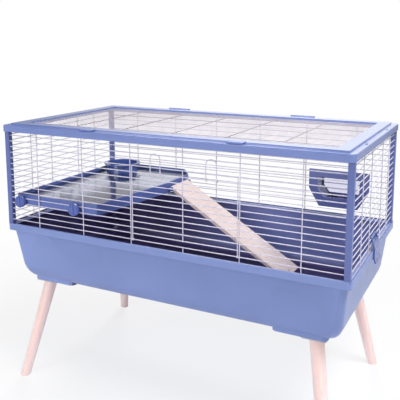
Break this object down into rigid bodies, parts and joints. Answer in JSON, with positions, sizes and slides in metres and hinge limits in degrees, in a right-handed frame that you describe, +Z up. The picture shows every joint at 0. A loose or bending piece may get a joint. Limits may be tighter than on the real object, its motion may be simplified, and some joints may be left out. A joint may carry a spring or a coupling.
{
  "type": "hamster cage",
  "caption": "Wire hamster cage on a deep plastic tray with splayed wooden legs, lift-up lid, drop-down front door, shelf, ramp, food cup and hanging house.",
  "frame": {"origin": "floor level under the centre of the footprint", "axes": "+X along the long side, to the right as seen from the door; +Y to the back; +Z up"},
  "size_m": [0.8118, 0.4474, 0.6061],
  "materials": {
    "tray_plastic": "periwinkle blue, satin moulded",
    "frame_plastic": "periwinkle blue, satin moulded",
    "latch_plastic": "deeper blue, glossy",
    "shelf_plastic": "blue, satin",
    "clear_plastic": "clear, faintly blue",
    "cup_plastic": "navy, glossy",
    "house_plastic": "dark navy, slightly see-through",
    "coated_wire": "pale lavender coated wire",
    "beech": "light beech, clear varnish",
    "ramp_wood": "light beech, unfinished",
    "bright_steel": "zinc plated"
  },
  "bodies": {
    "base": {"tray": "tray_plastic", "leg_front_left": "beech", "leg_front_right": "beech", "leg_back_left": "beech", "leg_back_right": "beech", "leg_plates": "bright_steel", "leg_bolts": "bright_steel", "leg_screws": "bright_steel", "post_front_left": "frame_plastic", "post_front_right": "frame_plastic", "post_back_left": "frame_plastic", "post_back_right": "frame_plastic", "top_frame": "frame_plastic", "front_bars_left": "coated_wire", "front_bars_right": "coated_wire", "front_bars_top": "coated_wire", "front_bars_bottom": "coated_wire", "back_bars": "coated_wire", "left_bars": "coated_wire", "right_bars": "coated_wire", "lid_hinge_pins": "bright_steel", "shelf_frame": "shelf_plastic", "shelf_floor": "clear_plastic", "shelf_studs": "shelf_plastic", "ramp_pin": "bright_steel"},
    "lid": {"lid_frame": "frame_plastic", "lid_bars": "coated_wire"},
    "lid_latch_left": {"lid_latch_left": "latch_plastic"},
    "lid_latch_right": {"lid_latch_right": "latch_plastic"},
    "front_door": {"front_door": "coated_wire"},
    "door_catch_left": {"door_catch_left": "coated_wire"},
    "door_catch_right": {"door_catch_right": "coated_wire"},
    "side_clip_left": {"side_clip_left": "latch_plastic"},
    "side_clip_right": {"side_clip_right": "latch_plastic"},
    "shelf_knob_left": {"shelf_knob_left": "latch_plastic"},
    "shelf_knob_right": {"shelf_knob_right": "latch_plastic"},
    "food_cup": {"food_cup": "cup_plastic"},
    "ramp": {"ramp": "ramp_wood"},
    "house": {"hanging_house": "house_plastic", "house_window": "clear_plastic"}
  },
  "joints": [
    {"name": "lid_hinge", "type": "hinge", "parent": "base", "child": "lid", "pos_m": [0, 0.208, 0.6032], "axis": [-1, 0, 0], "range_deg": [0, 100]},
    {"name": "lid_latch_left_hinge", "type": "hinge", "parent": "lid", "child": "lid_latch_left", "pos_m": [-0.172, -0.1965, 0.6012], "axis": [-1, 0, 0], "range_deg": [0, 75]},
    {"name": "lid_latch_right_hinge", "type": "hinge", "parent": "lid", "child": "lid_latch_right", "pos_m": [0.172, -0.1965, 0.6012], "axis": [-1, 0, 0], "range_deg": [0, 75]},
    {"name": "front_door_hinge", "type": "hinge", "parent": "base", "child": "front_door", "pos_m": [0.0612, -0.2068, 0.3799], "axis": [1, 0, 0], "range_deg": [0, 110]},
    {"name": "door_catch_left_hinge", "type": "hinge", "parent": "front_door", "child": "door_catch_left", "pos_m": [-0.0012, -0.2068, 0.524], "axis": [1, 0, 0], "range_deg": [0, 140]},
    {"name": "door_catch_right_hinge", "type": "hinge", "parent": "front_door", "child": "door_catch_right", "pos_m": [0.1236, -0.2068, 0.524], "axis": [1, 0, 0], "range_deg": [0, 140]},
    {"name": "side_clip_left_hinge", "type": "hinge", "parent": "base", "child": "side_clip_left", "pos_m": [-0.3938, 0, 0.393], "axis": [0, 1, 0], "range_deg": [0, 100]},
    {"name": "side_clip_right_hinge", "type": "hinge", "parent": "base", "child": "side_clip_right", "pos_m": [0.3938, 0, 0.393], "axis": [0, -1, 0], "range_deg": [0, 100]},
    {"name": "shelf_knob_left_turn", "type": "hinge", "parent": "base", "child": "shelf_knob_left", "pos_m": [-0.357, -0.214, 0.42575], "axis": [0, 1, 0], "continuous": true},
    {"name": "shelf_knob_right_turn", "type": "hinge", "parent": "base", "child": "shelf_knob_right", "pos_m": [-0.206, -0.214, 0.42575], "axis": [0, 1, 0], "continuous": true},
    {"name": "food_cup_lift", "type": "slide", "parent": "base", "child": "food_cup", "axis": [0, 0, 1], "range_m": [0, 0.04]},
    {"name": "ramp_hinge", "type": "hinge", "parent": "base", "child": "ramp", "pos_m": [-0.108, 0.092, 0.425], "axis": [0, -1, 0], "range_deg": [0, 20]},
    {"name": "house_lift", "type": "slide", "parent": "base", "child": "house", "axis": [0, 0, 1], "range_m": [0, 0.007]}
  ]
}
